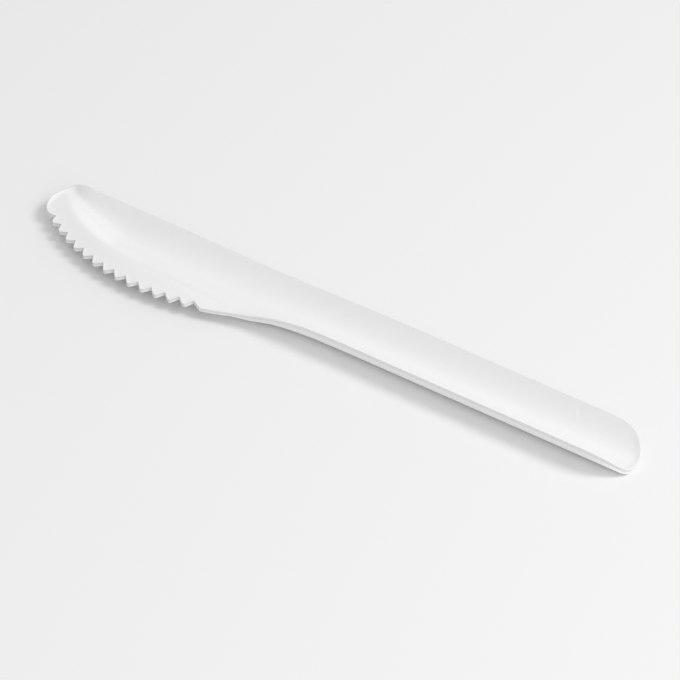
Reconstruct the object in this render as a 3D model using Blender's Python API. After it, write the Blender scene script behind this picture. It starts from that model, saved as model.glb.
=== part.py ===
"""A disposable knife pressed from one sheet of white paperboard, in metres, +Z up.

X runs from the blade's tip to the handle's end and +Y is the spine's side. The knife lies on the flat
floor of its trough, and the origin is on the surface below the middle of its outline.
"""

import math

import bmesh
import bpy
import numpy as np
from mathutils import Vector
from mathutils.geometry import interpolate_bezier

MM = 0.001

# Driving sizes.
LENGTH = 160.0 * MM
TROUGH_WIDTH = 13.9 * MM
TROUGH_DEPTH = 4.6 * MM
SHEET = 1.1 * MM
BLADE_WIDTH = 21.0 * MM

# The trough's section: a flat floor and two walls, each rounder the larger its bend is.
# The near wall has one bend in the handle and another in the blade, where it ends at the crease.
FLOOR_WIDTH = 2.6 * MM
NEAR_BEND = 0.5
BLADE_BEND = 2.0
FAR_BEND = 2.0
MOST_WALL_STRETCH = 1.55

# The handle's round end is half a superellipse.
END_REACH = 10.0 * MM
END_POWER = 2.5

# The cutting edge: teeth along an arc, counted from the tip.
EDGE_RADIUS = 57.9 * MM
EDGE_MIDDLE = 35.95 * MM
FIRST_NOTCH = 4.95 * MM
NOTCHES = 14
TOOTH_PITCH = 3.675 * MM
TOOTH_DEPTH = 1.47 * MM
TOOTH_TIP_WIDTH = 0.9 * MM
NOTCH_WIDTH = 0.3 * MM
TOOTH_ROUNDING = 0.14 * MM
NECK_TOOTH = 1.9 * MM

# The blunt tip, as two curves that meet at its foremost point.
TIP_RADIUS = 3.7 * MM
TIP_OFFSET = 5.0 * MM
TIP_DIP = 1.0 * MM
TIP_REACH = 0.55

# The crease between the trough and the flange: a slight slope that curves up to the spine at the tip.
CREASE_OFFSET = 15.87 * MM
CREASE_SLOPE = 0.02
CREASE_CURVE_START = 39.0 * MM
CREASE_RISE = 14.6 * MM
CREASE_RISE_POWER = 2.9
CREASE_EXIT_START = 56.0 * MM
CREASE_EXIT_END = 68.0 * MM
NARROWEST_TROUGH = 1.8 * MM

# The sheet's underside: its height at the teeth, the flange's slopes, the floor's fall behind the tip and
# the far rim's course.
EDGE_HEIGHT = 2.1 * MM
FLANGE_SLOPE = 0.28
TIP_FLANGE_SLOPE = 0.06
FLANGE_TURN = 30.0 * MM
FLOOR_FALL_START = 1.0 * MM
FLOOR_FALL = 20.0 * MM
RIM_RISE = 7.5 * MM
BLADE_RIM_DROP = 0.35 * MM
BLADE_RIM_START = 60.0 * MM
BLADE_RIM_END = 100.0 * MM
WAIST_DROP = 0.3 * MM
WAIST_MIDDLE = 60.0 * MM
WAIST_REACH = 30.0 * MM

# The neck, where the flange rises into the handle's near rim, by distances from the tip.
NECK_START = 53.5 * MM
NECK_END = 79.5 * MM
HANDLE_START = 92.0 * MM
NECK_SLOPE = 0.32
NECK_RUN = 9.35 * MM
NECK_EASE = 28.5 * MM

# The sheet before it is cut out, and the fineness of its grid and of the outline's curves.
MARGIN = 1.6 * MM
CELL_LENGTH = 2.5 * MM
COLUMN_POWER = 1.25
TROUGH_ROWS = 14
FLANGE_ROWS = 4
ARC_STEPS = 14

TIP_X = -LENGTH / 2
END_X = LENGTH / 2
SPINE_Y = BLADE_WIDTH / 2
AXIS_Y = SPINE_Y - TROUGH_WIDTH / 2
HANDLE_NEAR_Y = SPINE_Y - TROUGH_WIDTH
EDGE_CENTRE = Vector((TIP_X + EDGE_MIDDLE, EDGE_RADIUS - BLADE_WIDTH / 2))
FLAT_SHARE = FLOOR_WIDTH / TROUGH_WIDTH


def smooth_step(value):
    value = min(1.0, max(0.0, value))
    return value * value * (3 - 2 * value)


def mix(start, end, share):
    return start + (end - start) * share


def notch_angle(index):
    first = math.asin((FIRST_NOTCH - EDGE_MIDDLE) / (EDGE_RADIUS - TOOTH_DEPTH))
    return first + index * TOOTH_PITCH / EDGE_RADIUS


def edge_point(angle, depth):
    """A point on the cutting edge, by its angle from the arc's lowest point and its depth from the tooth tips."""
    return EDGE_CENTRE + (EDGE_RADIUS - depth) * Vector((math.sin(angle), -math.cos(angle)))


def neck_points():
    """The cut edge from the last tooth to the handle's near rim, as one Bezier curve."""
    start = edge_point(notch_angle(NOTCHES - 1) + NECK_TOOTH / EDGE_RADIUS, 0.0)
    end = Vector((TIP_X + HANDLE_START, HANDLE_NEAR_Y))
    leaving = start + NECK_RUN * Vector((1.0, NECK_SLOPE))
    arriving = end - Vector((NECK_EASE, 0.0))
    return list(interpolate_bezier(start, leaving, arriving, end, ARC_STEPS))


NECK_LINE = np.array([tuple(point) for point in neck_points()])


def line_y(x):
    """The near side of the outline without its notches: the teeth's arc, the neck and the handle's rim."""
    if x > NECK_LINE[0, 0]:
        return float(np.interp(x, NECK_LINE[:, 0], NECK_LINE[:, 1]))
    return EDGE_CENTRE.y - math.sqrt(EDGE_RADIUS**2 - (x - EDGE_CENTRE.x) ** 2)


def crease_left(x):
    """How far the crease has run out into the cut edge, from 0 in the blade to 1 in the handle."""
    return smooth_step((x - TIP_X - CREASE_EXIT_START) / (CREASE_EXIT_END - CREASE_EXIT_START))


def far_y(x):
    """The trough's far side: the spine, and a quarter of an ellipse round the tip."""
    ahead = min(1.0, max(0.0, 1 - (x - TIP_X) / TIP_RADIUS))
    return SPINE_Y - TIP_OFFSET * (1 - math.sqrt(1 - ahead**2))


def near_y(x):
    """The trough's near side: the crease in the blade, and the cut edge in the neck and the handle."""
    from_tip = x - TIP_X
    run = max(0.0, 1 - from_tip / CREASE_CURVE_START)
    straight = SPINE_Y - CREASE_OFFSET - CREASE_SLOPE * (from_tip - CREASE_EXIT_START)
    crease = min(straight + CREASE_RISE * run**CREASE_RISE_POWER, far_y(x) - NARROWEST_TROUGH)
    return mix(crease, line_y(x), crease_left(x))


def rim_height(x):
    """The far rim's height: full in the handle, a little lower in the blade and lowest at the neck."""
    from_tip = x - TIP_X
    lower = smooth_step((BLADE_RIM_END - from_tip) / (BLADE_RIM_END - BLADE_RIM_START))
    waist = max(0.0, 1 - ((from_tip - WAIST_MIDDLE) / WAIST_REACH) ** 2) ** 2
    return TROUGH_DEPTH - BLADE_RIM_DROP * lower - WAIST_DROP * waist


def bend(share, roundness):
    """A wall's rise from 0 to 1 across its width: a hyperbola that leaves the floor level."""
    return (math.hypot(roundness, share) - roundness) / (math.hypot(roundness, 1.0) - roundness)


def underside(x, y):
    """The height of the sheet's lower face."""
    near = near_y(x)
    half = (far_y(x) - near) / 2
    from_tip = x - TIP_X
    slope = mix(TIP_FLANGE_SLOPE, FLANGE_SLOPE, smooth_step(from_tip / FLANGE_TURN))
    raised = smooth_step((from_tip - NECK_START) / (NECK_END - NECK_START))
    near_height = EDGE_HEIGHT + slope * (near - line_y(x)) + (TROUGH_DEPTH - EDGE_HEIGHT) * raised
    floor = near_height * (1 - smooth_step((from_tip - FLOOR_FALL_START) / FLOOR_FALL))
    far_height = mix(near_height, rim_height(x), smooth_step(from_tip / RIM_RISE))
    across = (y - near - half) / half
    near_roundness = mix(BLADE_BEND, NEAR_BEND, crease_left(x))
    side, roundness = (far_height, FAR_BEND) if across > 0 else (near_height, near_roundness)
    climb = max(0.0, (abs(across) - FLAT_SHARE) / (1 - FLAT_SHARE))
    trough = floor + (side - floor) * bend(climb, roundness)
    if across >= -1:
        return trough
    return mix(near_height - slope * (near - y), trough, crease_left(x))


def wall_stretch(x, y):
    """How much taller than the sheet's thickness its cut face is, where the sheet slopes."""
    step = 0.05 * MM
    along = (underside(x + step, y) - underside(x - step, y)) / (2 * step)
    across = (underside(x, y + step) - underside(x, y - step)) / (2 * step)
    return min(math.sqrt(1 + along**2 + across**2), MOST_WALL_STRETCH)


def edge_points():
    """The toothed edge from the first notch to the corner where the neck begins."""
    notch = NOTCH_WIDTH / 2 / EDGE_RADIUS
    tooth = TOOTH_TIP_WIDTH / 2 / EDGE_RADIUS
    half_pitch = TOOTH_PITCH / 2 / EDGE_RADIUS
    points = []
    for index in range(NOTCHES):
        root = notch_angle(index)
        points.append(edge_point(root - notch, TOOTH_DEPTH - TOOTH_ROUNDING))
        points.append(edge_point(root, TOOTH_DEPTH))
        points.append(edge_point(root + notch, TOOTH_DEPTH - TOOTH_ROUNDING))
        if index < NOTCHES - 1:
            tip = root + half_pitch
            points.append(edge_point(tip - tooth, TOOTH_ROUNDING))
            points.append(edge_point(tip - tooth / 2, 0.0))
            points.append(edge_point(tip + tooth / 2, 0.0))
            points.append(edge_point(tip + tooth, TOOTH_ROUNDING))
    return points


def end_points():
    """The handle's round end, from its near rim to its far rim."""
    half = TROUGH_WIDTH / 2
    points = []
    for step in range(2 * ARC_STEPS + 1):
        angle = math.pi * (step / (2 * ARC_STEPS) - 0.5)
        reach = END_REACH * abs(math.cos(angle)) ** (2 / END_POWER)
        side = math.copysign(half * abs(math.sin(angle)) ** (2 / END_POWER), angle)
        points.append(Vector((END_X - END_REACH + reach, AXIS_Y + side)))
    return points


def tip_points():
    """The blunt tip, from the spine round to the first notch."""
    first = edge_points()[0]
    foremost = Vector((TIP_X, SPINE_Y - TIP_OFFSET))
    spine = Vector((TIP_X + TIP_RADIUS, SPINE_Y))
    top = Vector((TIP_X, SPINE_Y))
    low = Vector((TIP_X, first.y - TIP_DIP))
    upper = (spine, spine.lerp(top, TIP_REACH), foremost.lerp(top, TIP_REACH), foremost)
    lower = (foremost, foremost.lerp(low, TIP_REACH), first.lerp(low, TIP_REACH), first)
    points = list(interpolate_bezier(*upper, ARC_STEPS // 2 + 1))
    points += list(interpolate_bezier(*lower, ARC_STEPS // 2 + 1))[1:-1]
    return points


def outline():
    return edge_points() + neck_points()[:-1] + end_points() + tip_points()


def make_die():
    """The outline as a tall closed solid, which keeps what is inside it of the pressed sheet."""
    curve = bpy.data.curves.new("die_outline", "CURVE")
    curve.dimensions = "2D"
    curve.fill_mode = "BOTH"
    curve.extrude = 2 * TROUGH_DEPTH
    points = outline()
    spline = curve.splines.new("POLY")
    spline.points.add(len(points) - 1)
    for target, point in zip(spline.points, points):
        target.co = (point.x, point.y, 0.0, 1.0)
    spline.use_cyclic_u = True
    drawn = bpy.data.objects.new("die_outline", curve)
    bpy.context.scene.collection.objects.link(drawn)
    graph = bpy.context.evaluated_depsgraph_get()
    mesh = bpy.data.meshes.new_from_object(drawn.evaluated_get(graph))
    closed = bmesh.new()
    closed.from_mesh(mesh)
    bmesh.ops.remove_doubles(closed, verts=closed.verts, dist=0.001 * MM)
    bmesh.ops.recalc_face_normals(closed, faces=closed.faces)
    closed.to_mesh(mesh)
    closed.free()
    die = bpy.data.objects.new("die", mesh)
    die.matrix_world = drawn.matrix_world
    bpy.data.objects.remove(drawn)
    return die


def row_y(x, row):
    """The place across the sheet of one row of its grid: flange rows, then trough rows, then one past the rim."""
    near = near_y(x)
    far = far_y(x)
    if row > FLANGE_ROWS + TROUGH_ROWS:
        return far + MARGIN
    if row >= FLANGE_ROWS:
        return mix(near, far, (row - FLANGE_ROWS) / TROUGH_ROWS)
    return mix(line_y(x) - MARGIN, near, row / FLANGE_ROWS)


def make_sheet():
    """The pressed sheet before it is cut out: a grid that follows the trough, thickened upwards."""
    columns = round((LENGTH + 2 * MARGIN) / CELL_LENGTH)
    rows = FLANGE_ROWS + TROUGH_ROWS + 1
    sheet = bmesh.new()
    bmesh.ops.create_grid(sheet, x_segments=columns, y_segments=rows, size=0.5)
    for vert in sheet.verts:
        x = TIP_X - MARGIN + (LENGTH + 2 * MARGIN) * (vert.co.x + 0.5) ** COLUMN_POWER
        y = row_y(x, round((vert.co.y + 0.5) * rows))
        vert.co = (x, y, underside(x, y))
    raised = bmesh.ops.extrude_face_region(sheet, geom=sheet.faces[:])
    for item in raised["geom"]:
        if isinstance(item, bmesh.types.BMVert):
            item.co.z += SHEET * wall_stretch(item.co.x, item.co.y)
    bmesh.ops.recalc_face_normals(sheet, faces=sheet.faces)
    mesh = bpy.data.meshes.new("knife")
    sheet.to_mesh(mesh)
    sheet.free()
    return mesh


def paper_material():
    material = bpy.data.materials.new("white_paper")
    material.use_nodes = True
    shader = material.node_tree.nodes["Principled BSDF"]
    shader.inputs["Base Color"].default_value = (0.92, 0.92, 0.92, 1.0)
    shader.inputs["Roughness"].default_value = 0.75
    shader.inputs["Metallic"].default_value = 0.0
    return material


def make_knife(parts, cutters):
    knife = bpy.data.objects.new("knife", make_sheet())
    knife.data.materials.append(paper_material())
    parts.objects.link(knife)
    die = make_die()
    die.hide_render = True
    die.display_type = "WIRE"
    cutters.objects.link(die)
    cut = knife.modifiers.new("die_cut", "BOOLEAN")
    cut.operation = "INTERSECT"
    cut.solver = "EXACT"
    cut.object = die
    knife.data.shade_smooth()
    knife.data.set_sharp_from_angle(angle=math.radians(35))


def main():
    for old in list(bpy.data.objects):
        bpy.data.objects.remove(old)
    parts = bpy.data.collections.new("paper_knife")
    cutters = bpy.data.collections.new("cutters")
    for collection in (parts, cutters):
        bpy.context.scene.collection.children.link(collection)
    make_knife(parts, cutters)


main()
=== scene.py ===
"""The looks of a disposable knife pressed from white paperboard, in metres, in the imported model's frame.

X runs from the blade's tip to the handle's end, +Y is the spine's side and +Z is up.
"""

import math

import bmesh
import bpy
import numpy as np
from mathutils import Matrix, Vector
from mathutils.geometry import delaunay_2d_cdt


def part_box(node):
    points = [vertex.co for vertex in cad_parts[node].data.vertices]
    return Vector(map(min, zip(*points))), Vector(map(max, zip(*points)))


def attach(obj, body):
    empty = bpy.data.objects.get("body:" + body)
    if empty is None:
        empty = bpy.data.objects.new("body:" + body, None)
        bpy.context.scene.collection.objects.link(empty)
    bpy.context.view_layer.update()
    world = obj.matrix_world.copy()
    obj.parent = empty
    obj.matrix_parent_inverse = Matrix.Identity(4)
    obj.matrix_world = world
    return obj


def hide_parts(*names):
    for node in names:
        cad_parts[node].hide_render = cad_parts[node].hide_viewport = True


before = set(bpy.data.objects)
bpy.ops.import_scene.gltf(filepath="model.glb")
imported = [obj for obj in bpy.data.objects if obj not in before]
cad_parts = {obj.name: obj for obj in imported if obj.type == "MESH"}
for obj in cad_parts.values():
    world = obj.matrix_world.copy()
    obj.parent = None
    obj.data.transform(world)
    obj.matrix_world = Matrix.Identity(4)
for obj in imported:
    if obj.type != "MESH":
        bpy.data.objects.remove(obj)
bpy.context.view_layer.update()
MM = 0.001

# The knife's corners come from the frame. The other sizes are those of the pressed form.
LOW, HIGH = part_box("knife")
TROUGH_WIDTH = 13.9 * MM
TROUGH_DEPTH = 4.6 * MM
SHEET = 1.1 * MM
FLOOR_WIDTH = 2.6 * MM
NEAR_BEND = 0.5
BLADE_BEND = 2.0
FAR_BEND = 2.0
MOST_WALL_STRETCH = 1.55
SLOPE_STEP = 0.05 * MM
END_REACH = 10.0 * MM
END_POWER = 2.5
EDGE_RADIUS = 57.9 * MM
EDGE_MIDDLE = 35.95 * MM
FIRST_NOTCH = 4.95 * MM
NOTCHES = 14
TOOTH_PITCH = 3.675 * MM
TOOTH_DEPTH = 1.47 * MM
TOOTH_TIP_WIDTH = 0.9 * MM
NOTCH_WIDTH = 0.3 * MM
TOOTH_ROUNDING = 0.14 * MM
NECK_TOOTH = 1.9 * MM
TIP_RADIUS = 3.7 * MM
TIP_OFFSET = 5.0 * MM
TIP_DIP = 1.0 * MM
TIP_REACH = 0.55
CREASE_OFFSET = 15.87 * MM
CREASE_SLOPE = 0.02
CREASE_CURVE_START = 39.0 * MM
CREASE_RISE = 14.6 * MM
CREASE_RISE_POWER = 2.9
CREASE_EXIT_START = 56.0 * MM
CREASE_EXIT_END = 68.0 * MM
NARROWEST_TROUGH = 1.8 * MM
EDGE_HEIGHT = 2.1 * MM
FLANGE_SLOPE = 0.28
TIP_FLANGE_SLOPE = 0.06
FLANGE_TURN = 30.0 * MM
FLOOR_FALL_START = 1.0 * MM
FLOOR_FALL = 20.0 * MM
RIM_RISE = 7.5 * MM
BLADE_RIM_DROP = 0.35 * MM
BLADE_RIM_START = 60.0 * MM
BLADE_RIM_END = 100.0 * MM
WAIST_DROP = 0.3 * MM
WAIST_MIDDLE = 60.0 * MM
WAIST_REACH = 30.0 * MM
NECK_START = 53.5 * MM
NECK_END = 79.5 * MM
HANDLE_START = 92.0 * MM
NECK_SLOPE = 0.32
NECK_RUN = 9.35 * MM
NECK_EASE = 28.5 * MM

TIP_X = LOW.x
END_X = HIGH.x
SPINE_Y = HIGH.y
AXIS_Y = SPINE_Y - TROUGH_WIDTH / 2
HANDLE_NEAR_Y = SPINE_Y - TROUGH_WIDTH
EDGE_CENTRE = Vector((TIP_X + EDGE_MIDDLE, LOW.y + EDGE_RADIUS))
FLAT_SHARE = FLOOR_WIDTH / TROUGH_WIDTH

# The fineness of the finished surface.
OUTLINE_STEP = 0.28 * MM
LEAST_STEP = 0.35 * OUTLINE_STEP
NECK_STEPS = 80
END_STEPS = 120
TIP_STEPS = 30
CELL = 0.5 * MM
CREASE_SOFTNESS = 0.9 * MM
CREASE_TAPS = 9
EDGE_RINGS = (0.07 * MM, 0.16 * MM, 0.32 * MM)
CLEAR_OF_RINGS = 0.4 * CELL
TOP_ROUNDING = (0.06 * MM, 0.02 * MM, 0.005 * MM, 0.0)
UNDER_ROUNDING = (0.22 * MM, 0.12 * MM, 0.05 * MM, 0.0)
POINT_GROUPS = 40

# The cut face shows the board's plies: fine grooves along it, whose dark lines are painted shade, and a
# lowest ply that slopes out again and is painted lighter as a painted highlight.
# The tones run from 0, the board's own white, to 1, the grey the painted shade reaches; the teeth's cut
# faces carry painted shade, and the faces are greyer towards the handle's end.
CUT_ROWS = 16
PLY_LINES = (0.26, 0.56)
LINE_DEPTH = 0.09 * MM
LINE_SPREAD = 0.06
SET_BACK = 0.08 * MM
LOWEST_PLY = 0.74
# The lowest ply's lightening is a painted highlight along the bottom of the cut face.
LOWEST_PLY_PAINTED_LIGHT = 0.7
# The lines' grey is painted shade in the grooves between plies.
LINE_PAINTED_SHADE = 0.5
EDGE_TONE = 0.03
# The teeth's grey is painted shade on cut faces turned away from the light.
TEETH_PAINTED_SHADE = 0.4
END_TONE = 0.3
CUT_ROUGHNESS = 0.012 * MM
SEED = 11

# The lip round the tip, where cutting has turned the sheet's edge up, and the low burr along the teeth.
LIP_HEIGHT = 0.42 * MM
LIP_WIDTH = 0.3 * MM
LIP_FALL = 1.5
LIP_START = 4.0 * MM
LIP_END = 9.0 * MM
LIP_AT_TEETH = 0.3

# The far half of the handle's end is turned up more gently, over a wider strip.
END_LIP_HEIGHT = 0.3 * MM
END_LIP_WIDTH = 0.75 * MM
END_LIP_REACH = 6.0 * MM
END_LIP_RISE = 0.6 * END_LIP_REACH
END_LIP_NEAR_Y = AXIS_Y - TROUGH_WIDTH / 4
END_LIP_FADE = TROUGH_WIDTH / 3

# Two small faults of the photographed knife: a dent in the handle's far wall and a nick in the spine.
DENT_AT = (61.7 * MM, 9.1 * MM)
DENT_RADIUS = 0.4 * MM
DENT_DEPTH = 0.15 * MM
DENT_RINGS = 8
DENT_SPOKES = 16
DENT_RINGS_PER_RADIUS = 3
NICK_AT = (-45.0 * MM, 10.45 * MM)
NICK_RADIUS = 0.28 * MM
NICK_DEPTH = 0.1 * MM
# The top face is also greyed round the nick's spot, darkest at its middle.
NICK_TONE = 0.5

# The camera, worked out from the knife's outline in the photograph.
CAMERA_AZIMUTH = math.radians(36.23)
CAMERA_ELEVATION = math.radians(36.87)
CAMERA_DISTANCE = 1.5206
PIXELS_PER_METRE = 4543.0
IMAGE_SIDE = 680
SENSOR = 36.0
FAR_CLIP = 10.0
AIM = Vector((1.65 * MM, 3.565 * MM, 0.0))
AIM_RISE_PIXELS = 1.51

# Plain white paperboard, a pale floor and a soft studio light.
PAPER = (0.92, 0.92, 0.92, 1.0)
# The grey the cut faces are mixed towards, which carries their painted shade.
CUT_GREY_AND_PAINTED_SHADE = (0.6, 0.595, 0.58, 1.0)
PAPER_ROUGHNESS = 0.8
PAPER_SPECULAR = 0.25
FIBRE_SCALE = 1400.0
FIBRE_DETAIL = 4.0
FIBRE_STRENGTH = 0.25
FIBRE_DEPTH = 0.03 * MM
FLOOR_COLOUR = (0.93, 0.93, 0.93, 1.0)
FLOOR_SIZE = 3.0
WORLD_COLOUR = (1.0, 1.0, 1.0, 1.0)
WORLD_STRENGTH = 0.6


def smooth_step(value):
    """A rise from 0 to 1 that starts and ends level."""
    value = np.clip(value, 0.0, 1.0)
    return value * value * (3 - 2 * value)


def mix(start, end, share):
    """The value that lies a share of the way from start to end."""
    return start + (end - start) * share


def notch_angle(index):
    """The angle of a notch's root on the cutting edge's arc."""
    first = math.asin((FIRST_NOTCH - EDGE_MIDDLE) / (EDGE_RADIUS - TOOTH_DEPTH))
    return first + index * TOOTH_PITCH / EDGE_RADIUS


def edge_point(angle, depth):
    """A point on the cutting edge, by its angle on the arc and its depth from the teeth's tips."""
    return EDGE_CENTRE + (EDGE_RADIUS - depth) * Vector((math.sin(angle), -math.cos(angle)))


def bezier(start, first, second, end, steps):
    """Points along a cubic curve, without its last one."""
    points = []
    for step in range(steps):
        t = step / steps
        point = (1 - t) ** 3 * start + 3 * (1 - t) ** 2 * t * first
        points.append(point + 3 * (1 - t) * t**2 * second + t**3 * end)
    return points


def neck_points():
    """The cut edge from the last tooth to the handle's near rim."""
    start = edge_point(notch_angle(NOTCHES - 1) + NECK_TOOTH / EDGE_RADIUS, 0.0)
    end = Vector((TIP_X + HANDLE_START, HANDLE_NEAR_Y))
    leaving = start + NECK_RUN * Vector((1.0, NECK_SLOPE))
    arriving = end - Vector((NECK_EASE, 0.0))
    return bezier(start, leaving, arriving, end, NECK_STEPS) + [end]


NECK_LINE = np.array([tuple(point) for point in neck_points()])


def line_y(x):
    """The near side of the outline without its notches: the teeth's arc, the neck and the handle's rim."""
    arc = EDGE_CENTRE.y - np.sqrt(np.maximum(0.0, EDGE_RADIUS**2 - (x - EDGE_CENTRE.x) ** 2))
    return np.where(x > NECK_LINE[0, 0], np.interp(x, NECK_LINE[:, 0], NECK_LINE[:, 1]), arc)


def crease_left(x):
    """How far the crease has run out into the cut edge, from 0 in the blade to 1 in the handle."""
    return smooth_step((x - TIP_X - CREASE_EXIT_START) / (CREASE_EXIT_END - CREASE_EXIT_START))


def far_y(x):
    """The trough's far side: the spine, and a quarter of an ellipse round the tip."""
    ahead = np.clip(1 - (x - TIP_X) / TIP_RADIUS, 0.0, 1.0)
    return SPINE_Y - TIP_OFFSET * (1 - np.sqrt(1 - ahead**2))


def near_y(x):
    """The trough's near side: the crease in the blade, and the cut edge in the neck and the handle."""
    from_tip = x - TIP_X
    run = np.maximum(0.0, 1 - from_tip / CREASE_CURVE_START)
    straight = SPINE_Y - CREASE_OFFSET - CREASE_SLOPE * (from_tip - CREASE_EXIT_START)
    crease = np.minimum(straight + CREASE_RISE * run**CREASE_RISE_POWER, far_y(x) - NARROWEST_TROUGH)
    return mix(crease, line_y(x), crease_left(x))


def rim_height(x):
    """The far rim's height: full in the handle, a little lower in the blade and lowest at the neck."""
    from_tip = x - TIP_X
    lower = smooth_step((BLADE_RIM_END - from_tip) / (BLADE_RIM_END - BLADE_RIM_START))
    waist = np.maximum(0.0, 1 - ((from_tip - WAIST_MIDDLE) / WAIST_REACH) ** 2) ** 2
    return TROUGH_DEPTH - BLADE_RIM_DROP * lower - WAIST_DROP * waist


def bend(share, roundness):
    """A wall's rise from 0 to 1 across its width: a hyperbola that leaves the floor level."""
    return (np.hypot(roundness, share) - roundness) / (np.hypot(roundness, 1.0) - roundness)


def underside(x, y):
    """The height of the sheet's lower face before its crease is softened."""
    near = near_y(x)
    half = (far_y(x) - near) / 2
    from_tip = x - TIP_X
    slope = mix(TIP_FLANGE_SLOPE, FLANGE_SLOPE, smooth_step(from_tip / FLANGE_TURN))
    raised = smooth_step((from_tip - NECK_START) / (NECK_END - NECK_START))
    near_height = EDGE_HEIGHT + slope * (near - line_y(x)) + (TROUGH_DEPTH - EDGE_HEIGHT) * raised
    floor = near_height * (1 - smooth_step((from_tip - FLOOR_FALL_START) / FLOOR_FALL))
    far_height = mix(near_height, rim_height(x), smooth_step(from_tip / RIM_RISE))
    across = (y - near - half) / half
    side = np.where(across > 0, far_height, near_height)
    roundness = np.where(across > 0, FAR_BEND, mix(BLADE_BEND, NEAR_BEND, crease_left(x)))
    climb = np.maximum(0.0, (np.abs(across) - FLAT_SHARE) / (1 - FLAT_SHARE))
    trough = floor + (side - floor) * bend(climb, roundness)
    flange = near_height - slope * (near - y)
    return np.where(across >= -1, trough, mix(flange, trough, crease_left(x)))


def soft_underside(x, y):
    """The lower face with its crease rounded, as pressing leaves it."""
    weights = np.hanning(CREASE_TAPS + 2)[1:-1]
    shifts = np.linspace(-CREASE_SOFTNESS, CREASE_SOFTNESS, CREASE_TAPS)
    return sum(weight * underside(x, y + shift) for weight, shift in zip(weights, shifts)) / weights.sum()


def wall_stretch(x, y):
    """How much taller than the sheet's thickness its cut face is, where the sheet slopes."""
    step = SLOPE_STEP
    along = (soft_underside(x + step, y) - soft_underside(x - step, y)) / (2 * step)
    across = (soft_underside(x, y + step) - soft_underside(x, y - step)) / (2 * step)
    return np.minimum(np.sqrt(1 + along**2 + across**2), MOST_WALL_STRETCH)


def blade_lip(x, y, gap):
    """How far the sheet is turned up round the tip, and a little on the teeth."""
    along = 1 - smooth_step((x - TIP_X - LIP_START) / (LIP_END - LIP_START))
    lowest = edge_point(notch_angle(0), TOOTH_DEPTH).y
    above_teeth = smooth_step((y - lowest) / (SPINE_Y - TIP_OFFSET - lowest))
    at_teeth = LIP_AT_TEETH * (y < near_y(x)) * (x < NECK_LINE[0, 0])
    share = np.maximum(along * mix(LIP_AT_TEETH, 1.0, above_teeth), at_teeth)
    return LIP_HEIGHT * share * np.exp(-((gap / LIP_WIDTH) ** LIP_FALL))


def end_lip(x, y, gap):
    """How far the sheet is turned up round the far half of the handle's end."""
    along = smooth_step((x - END_X + END_LIP_REACH) / END_LIP_RISE)
    far_half = smooth_step((y - END_LIP_NEAR_Y) / END_LIP_FADE)
    return END_LIP_HEIGHT * along * far_half * np.exp(-((gap / END_LIP_WIDTH) ** 2))


def spot(x, y, place, radius):
    """A round spot that fades from 1 at its middle."""
    return np.exp(-((x - place[0]) ** 2 + (y - place[1]) ** 2) / radius**2)


def ply_lines(share):
    """How strongly a line between plies shows, by the share of the way down the cut face."""
    return sum(math.exp(-(((share - line) / LINE_SPREAD) ** 2)) for line in PLY_LINES)


def lowest_ply(share):
    """How far down the lowest ply a place on the cut face is, and 0 above that ply."""
    return max(0.0, (share - LOWEST_PLY) / (1 - LOWEST_PLY))


def cut_depth(share):
    """How far the cut face lies inside the outline."""
    set_back = float(smooth_step(share / PLY_LINES[0])) * (1 - lowest_ply(share))
    return LINE_DEPTH * ply_lines(share) + SET_BACK * set_back


def grey_and_painted_light(share, x):
    """How grey the cut face is painted: painted shade in the lines between plies away from the teeth and
    on the teeth's faces, a painted highlight on the lowest ply, and greyer towards the handle's end.
    """
    in_teeth = 1 - float(smooth_step((x - NECK_LINE[0, 0] + TOOTH_PITCH) / (2 * TOOTH_PITCH)))
    in_end = float(smooth_step((x - END_X + END_LIP_REACH) / END_LIP_REACH))
    plain = mix(mix(EDGE_TONE, TEETH_PAINTED_SHADE, in_teeth), END_TONE, in_end)
    plain = plain * (1 - LOWEST_PLY_PAINTED_LIGHT * lowest_ply(share) * (1 - in_teeth))
    return plain + LINE_PAINTED_SHADE * ply_lines(share) * (1 - in_teeth)


def edge_points():
    """The toothed edge from the first notch to the corner where the neck begins."""
    notch = NOTCH_WIDTH / 2 / EDGE_RADIUS
    tooth = TOOTH_TIP_WIDTH / 2 / EDGE_RADIUS
    half_pitch = TOOTH_PITCH / 2 / EDGE_RADIUS
    points = []
    for index in range(NOTCHES):
        root = notch_angle(index)
        points.append(edge_point(root - notch, TOOTH_DEPTH - TOOTH_ROUNDING))
        points.append(edge_point(root, TOOTH_DEPTH))
        points.append(edge_point(root + notch, TOOTH_DEPTH - TOOTH_ROUNDING))
        if index < NOTCHES - 1:
            tip = root + half_pitch
            points.append(edge_point(tip - tooth, TOOTH_ROUNDING))
            points.append(edge_point(tip - tooth / 2, 0.0))
            points.append(edge_point(tip + tooth / 2, 0.0))
            points.append(edge_point(tip + tooth, TOOTH_ROUNDING))
    return points


def end_points():
    """The handle's round end, from its near rim to its far rim."""
    half = TROUGH_WIDTH / 2
    points = []
    for step in range(END_STEPS + 1):
        angle = math.pi * (step / END_STEPS - 0.5)
        reach = END_REACH * abs(math.cos(angle)) ** (2 / END_POWER)
        side = math.copysign(half * abs(math.sin(angle)) ** (2 / END_POWER), angle)
        points.append(Vector((END_X - END_REACH + reach, AXIS_Y + side)))
    return points


def tip_points(first_notch):
    """The blunt tip, from the spine round to the first notch."""
    foremost = Vector((TIP_X, SPINE_Y - TIP_OFFSET))
    spine = Vector((TIP_X + TIP_RADIUS, SPINE_Y))
    top = Vector((TIP_X, SPINE_Y))
    low = Vector((TIP_X, first_notch.y - TIP_DIP))
    upper = (spine, spine.lerp(top, TIP_REACH), foremost.lerp(top, TIP_REACH), foremost)
    lower = (foremost, foremost.lerp(low, TIP_REACH), first_notch.lerp(low, TIP_REACH), first_notch)
    return bezier(*upper, TIP_STEPS) + bezier(*lower, TIP_STEPS)


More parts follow.
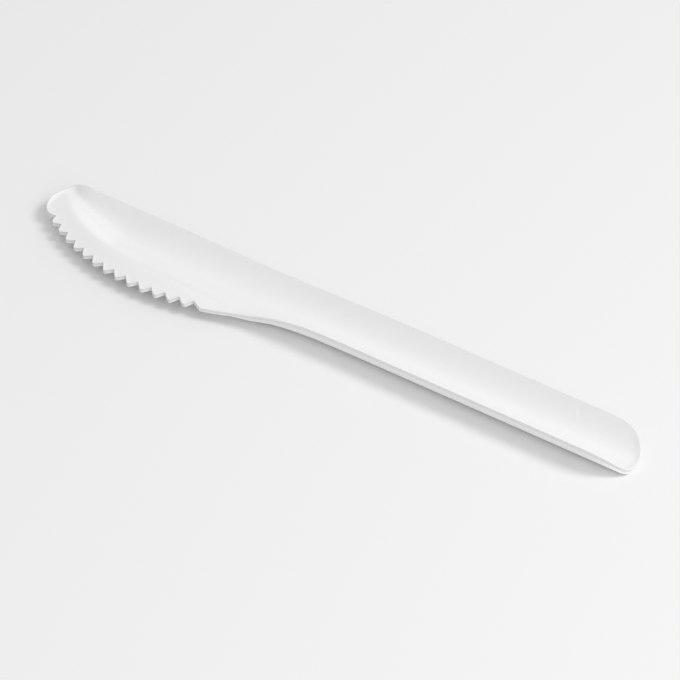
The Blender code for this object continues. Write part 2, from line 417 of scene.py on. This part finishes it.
def outline():
    """The cut outline as points an even small step apart, anticlockwise seen from above."""
    edge = edge_points()
    points = edge + neck_points()[:-1] + end_points() + tip_points(edge[0])
    corners = np.array([tuple(point) for point in points])
    corners = np.vstack([corners, corners[:1]])
    pieces = []
    for start, end in zip(corners[:-1], corners[1:]):
        gap = np.linalg.norm(end - start)
        count = max(1, round(gap / OUTLINE_STEP))
        for step in range(count):
            pieces.append(mix(start, end, step / count))
    dense = np.array(pieces)
    kept = [dense[0]]
    for point in dense[1:]:
        if np.linalg.norm(point - kept[-1]) > LEAST_STEP:
            kept.append(point)
    return np.array(kept)


def inward(loop):
    """Unit vectors from an anticlockwise loop's points into it."""
    along = np.roll(loop, -1, axis=0) - np.roll(loop, 1, axis=0)
    normal = np.stack([-along[:, 1], along[:, 0]], axis=1)
    return normal / np.linalg.norm(normal, axis=1, keepdims=True)


def inside_by(points, loop):
    """How far each point lies inside the loop: less than nothing where it is outside."""
    run = np.roll(loop, -1, axis=0) - loop
    away = points[:, None, :] - loop[None]
    share = np.clip((away * run).sum(-1) / (run * run).sum(-1), 0, 1)
    gap = np.linalg.norm(away - share[..., None] * run, axis=-1).min(axis=1)
    above = loop[None, :, 1] > points[:, None, 1]
    above_next = above[:, np.r_[1 : len(loop), 0]]
    with np.errstate(divide="ignore", invalid="ignore"):
        cross = loop[None, :, 0] + run[None, :, 0] * away[..., 1] / run[None, :, 1]
    crossings = ((above != above_next) & (points[:, None, 0] < cross)).sum(axis=1)
    return np.where(crossings % 2 == 1, gap, -gap)


def outline_gap(points, loop):
    """How far each point lies inside the loop, worked out in groups to spare memory."""
    return np.concatenate([inside_by(part, loop) for part in np.array_split(points, POINT_GROUPS)])


def filling(loop):
    """Points that fill the loop in rows along the trough and in finer rings round the dent."""
    points = []
    for x in np.arange(TIP_X, END_X, CELL):
        near = float(near_y(x))
        far = float(far_y(x))
        rows = max(3, round((far - near) / CELL))
        points += [(x, y) for y in np.linspace(near, far, rows + 1)]
        points += [(x, y) for y in np.arange(near - CELL, LOW.y, -CELL)]
    cleared = (DENT_RINGS + 1) * DENT_RADIUS / DENT_RINGS_PER_RADIUS
    points = [point for point in points if math.dist(point, DENT_AT) > cleared]
    for ring in range(1, DENT_RINGS + 1):
        reach = ring * DENT_RADIUS / DENT_RINGS_PER_RADIUS
        for spoke in range(DENT_SPOKES):
            angle = math.tau * (spoke + ring / 2) / DENT_SPOKES
            points.append((DENT_AT[0] + reach * math.cos(angle), DENT_AT[1] + reach * math.sin(angle)))
    points = np.array(points)
    return points[outline_gap(points, loop) > EDGE_RINGS[-1] + CLEAR_OF_RINGS]


def knife_mesh():
    """The pressed and cut sheet: two faces with the same plan, joined by the cut edge."""
    loop = outline()
    rings = [loop] + [loop + ring * inward(loop) for ring in EDGE_RINGS]
    plan = np.vstack(rings + [filling(loop)])
    count = len(loop)
    border = [(index, (index + 1) % count) for index in range(count)]
    flat = [Vector(point) for point in plan / MM]
    solved = delaunay_2d_cdt(flat, border, [], 1, 1e-7)
    places = np.array([tuple(point) for point in solved[0]]) * MM
    triangles = solved[2]
    ring_of = np.full(len(places), len(EDGE_RINGS))
    first = {}
    for new, olds in enumerate(solved[3]):
        for old in olds:
            first[old] = new
            if old < count * len(rings):
                ring_of[new] = old // count
    x, y = places.T
    gap = np.full(len(places), HIGH.x - LOW.x)
    by_teeth = (x < NECK_LINE[0, 0]) & (y < near_y(x))
    turned_up = by_teeth | (x < TIP_X + LIP_END) | (x > END_X - END_LIP_REACH)
    gap[turned_up] = np.abs(outline_gap(places[turned_up], loop))
    low = soft_underside(x, y) + blade_lip(x, y, gap) + end_lip(x, y, gap)
    high = low + SHEET * wall_stretch(x, y)
    nick = spot(x, y, NICK_AT, NICK_RADIUS)
    top = high - np.array(TOP_ROUNDING)[ring_of] - NICK_DEPTH * nick
    top = top - DENT_DEPTH * spot(x, y, DENT_AT, DENT_RADIUS)
    under = low + np.array(UNDER_ROUNDING)[ring_of]

    built = bmesh.new()
    # This attribute holds the cut faces' grey with its painted shade and painted highlight, and the nick's
    # grey spot.
    painted_grey_and_light = built.verts.layers.float.new("grey_and_painted_light")
    top_verts = [built.verts.new((*place, z)) for place, z in zip(places, top)]
    under_verts = [built.verts.new((*place, z)) for place, z in zip(places, under)]
    for vert, grey in zip(top_verts, nick):
        vert[painted_grey_and_light] = NICK_TONE * float(grey)
    for a, b, c in triangles:
        built.faces.new((top_verts[a], top_verts[b], top_verts[c]))
        built.faces.new((under_verts[c], under_verts[b], under_verts[a]))

    outward = -inward(loop)
    noise = np.random.default_rng(SEED)
    columns = []
    for index in range(count):
        at = first[index]
        column = [top_verts[at]]
        for row in range(1, CUT_ROWS):
            share = row / CUT_ROWS
            depth = cut_depth(share) + CUT_ROUGHNESS * abs(noise.normal())
            place = places[at] - outward[index] * depth
            vert = built.verts.new((*place, mix(top[at], under[at], share)))
            # The cut face's grey carries painted shade in the ply lines and on the teeth and a painted
            # highlight on the lowest ply.
            vert[painted_grey_and_light] = grey_and_painted_light(share, place[0])
            column.append(vert)
        column.append(under_verts[at])
        columns.append(column)
    for here, there in zip(columns, columns[1:] + columns[:1]):
        for row in range(CUT_ROWS):
            built.faces.new((here[row], here[row + 1], there[row + 1], there[row]))
    bmesh.ops.recalc_face_normals(built, faces=built.faces)
    mesh = bpy.data.meshes.new("pressed_knife")
    built.to_mesh(mesh)
    built.free()
    mesh.shade_smooth()
    return mesh


def paper_material():
    """Matt uncoated white paperboard with a faint fibre grain, greyer on its cut faces, with painted shade
    in the ply lines and on the teeth's faces and a painted highlight on the lowest ply.
    """
    material = bpy.data.materials.new("white_paper")
    material.use_nodes = True
    nodes, links = material.node_tree.nodes, material.node_tree.links
    shader = nodes["Principled BSDF"]
    # The attribute mixes in the cut faces' grey, painted shade and painted highlight.
    painted_grey_and_light = nodes.new("ShaderNodeAttribute")
    painted_grey_and_light.attribute_name = "grey_and_painted_light"
    shade = nodes.new("ShaderNodeMix")
    shade.data_type = "RGBA"
    shade.inputs["A"].default_value = PAPER
    shade.inputs["B"].default_value = CUT_GREY_AND_PAINTED_SHADE
    links.new(painted_grey_and_light.outputs["Fac"], shade.inputs["Factor"])
    links.new(shade.outputs["Result"], shader.inputs["Base Color"])
    shader.inputs["Roughness"].default_value = PAPER_ROUGHNESS
    shader.inputs["Specular IOR Level"].default_value = PAPER_SPECULAR
    place = nodes.new("ShaderNodeTexCoord")
    fibres = nodes.new("ShaderNodeTexNoise")
    fibres.inputs["Scale"].default_value = FIBRE_SCALE
    fibres.inputs["Detail"].default_value = FIBRE_DETAIL
    links.new(place.outputs["Object"], fibres.inputs["Vector"])
    bump = nodes.new("ShaderNodeBump")
    bump.inputs["Strength"].default_value = FIBRE_STRENGTH
    bump.inputs["Distance"].default_value = FIBRE_DEPTH
    links.new(fibres.outputs["Fac"], bump.inputs["Height"])
    links.new(bump.outputs["Normal"], shader.inputs["Normal"])
    return material


def make_knife():
    knife = bpy.data.objects.new("pressed_knife", knife_mesh())
    bpy.context.scene.collection.objects.link(knife)
    knife.data.materials.append(paper_material())
    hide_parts("knife")
    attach(knife, "root")


def make_floor():
    mesh = bpy.data.meshes.new("floor")
    built = bmesh.new()
    bmesh.ops.create_grid(built, x_segments=1, y_segments=1, size=FLOOR_SIZE)
    built.to_mesh(mesh)
    built.free()
    floor = bpy.data.objects.new("floor", mesh)
    bpy.context.scene.collection.objects.link(floor)
    material = bpy.data.materials.new("floor")
    material.use_nodes = True
    shader = material.node_tree.nodes["Principled BSDF"]
    shader.inputs["Base Color"].default_value = FLOOR_COLOUR
    shader.inputs["Roughness"].default_value = 1.0
    shader.inputs["Specular IOR Level"].default_value = 0.0
    mesh.materials.append(material)


def add_lamp(name, direction, distance, size, energy):
    """A round lamp that shines at the origin from a direction."""
    lamp = bpy.data.lights.new(name, "AREA")
    lamp.shape = "DISK"
    lamp.size = size
    lamp.energy = energy
    holder = bpy.data.objects.new(name, lamp)
    holder.location = distance * direction
    holder.rotation_euler = direction.to_track_quat("Z", "Y").to_euler()
    bpy.context.scene.collection.objects.link(holder)


def make_light():
    world = bpy.data.worlds.new("studio")
    bpy.context.scene.world = world
    world.use_nodes = True
    background = world.node_tree.nodes["Background"]
    background.inputs["Color"].default_value = WORLD_COLOUR
    background.inputs["Strength"].default_value = WORLD_STRENGTH
    add_lamp("key", Vector((0.63, 0.21, 0.747)), distance=1.15, size=0.51, energy=4.9)
    add_lamp("fill", Vector((0.75, -0.43, 0.5)), distance=1.8, size=0.9, energy=4.2)


def make_camera():
    lens = bpy.data.cameras.new("camera")
    lens.sensor_width = SENSOR
    lens.lens = PIXELS_PER_METRE * CAMERA_DISTANCE * SENSOR / IMAGE_SIDE
    lens.clip_end = FAR_CLIP
    camera = bpy.data.objects.new("camera", lens)
    level = math.cos(CAMERA_ELEVATION)
    sideways = math.sin(CAMERA_AZIMUTH) * level
    forwards = -math.cos(CAMERA_AZIMUTH) * level
    back = Vector((sideways, forwards, math.sin(CAMERA_ELEVATION)))
    turn = back.to_track_quat("Z", "Y")
    up = turn @ Vector((0.0, 1.0, 0.0))
    camera.location = AIM + up * AIM_RISE_PIXELS / PIXELS_PER_METRE + back * CAMERA_DISTANCE
    camera.rotation_euler = turn.to_euler()
    bpy.context.scene.collection.objects.link(camera)
    bpy.context.scene.camera = camera


def main():
    bpy.context.scene.view_settings.view_transform = "Standard"
    make_knife()
    make_floor()
    make_light()
    make_camera()


main()
